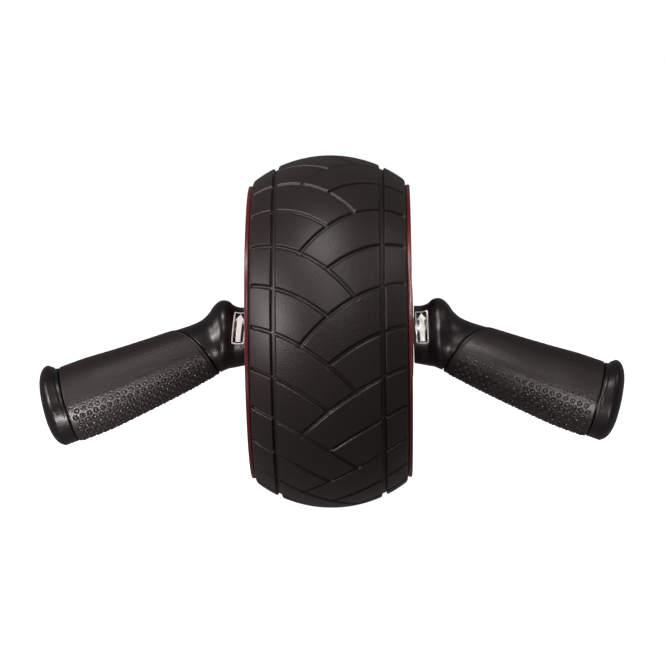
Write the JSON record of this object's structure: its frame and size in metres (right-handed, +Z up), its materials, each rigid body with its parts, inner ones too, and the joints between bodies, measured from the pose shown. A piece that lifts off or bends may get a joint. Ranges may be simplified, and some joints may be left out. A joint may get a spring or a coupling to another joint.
{
  "type": "ab roller",
  "caption": "Wide crowned tread wheel with an inner return spring, between two drooping gripped handles, for rolling core exercise.",
  "frame": {"origin": "on the floor under the middle of the wheel, at the bottom centre of the whole object's box", "axes": "+X along the axle to the right-hand handle, +Z up, -Y towards the side that the arrow labels face"},
  "size_m": [0.3326, 0.2, 0.2],
  "materials": {
    "tread_rubber": "matt, fine moulded grain",
    "hub_red": "smooth moulded, satin gloss",
    "arm_gloss": "high gloss",
    "grip_rubber": "satin, moulded hexagonal texture",
    "label": "printed film",
    "steel": "zinc plated",
    "spring_steel": "blued",
    "pressed_steel": "pressed sheet",
    "nylon": "moulded"
  },
  "bodies": {
    "handles": {"axle_shaft": "steel", "spring_arbor": "steel", "arbor_pin": "steel", "spiral_spring": "spring_steel", "spacer_left": "nylon", "spacer_right": "nylon", "thrust_washer_left": "steel", "thrust_washer_right": "steel", "circlip_left": "spring_steel", "circlip_right": "spring_steel", "arm_pin_left": "steel", "arm_pin_right": "steel", "handle_arm_left": "arm_gloss", "handle_arm_right": "arm_gloss", "grip_left": "grip_rubber", "grip_right": "grip_rubber", "end_cap_left": "arm_gloss", "end_cap_right": "arm_gloss", "arrow_label_left": "label", "arrow_label_right": "label"},
    "wheel": {"tread": "tread_rubber", "hub_half_left": "hub_red", "hub_half_right": "hub_red", "hub_screw_1": "steel", "hub_screw_2": "steel", "hub_screw_3": "steel", "hub_screw_4": "steel", "bush_left": "nylon", "bush_right": "nylon", "spring_case": "pressed_steel", "spring_cover": "pressed_steel", "spring_anchor": "steel"}
  },
  "joints": [
    {"name": "wheel_spin", "type": "hinge", "parent": "handles", "child": "wheel", "pos_m": [0, 0, 0.1], "axis": [-1, 0, 0], "range_deg": [0, 900], "stiffness_Nm_per_rad": 0.32, "deforming": ["spiral_spring"]}
  ]
}
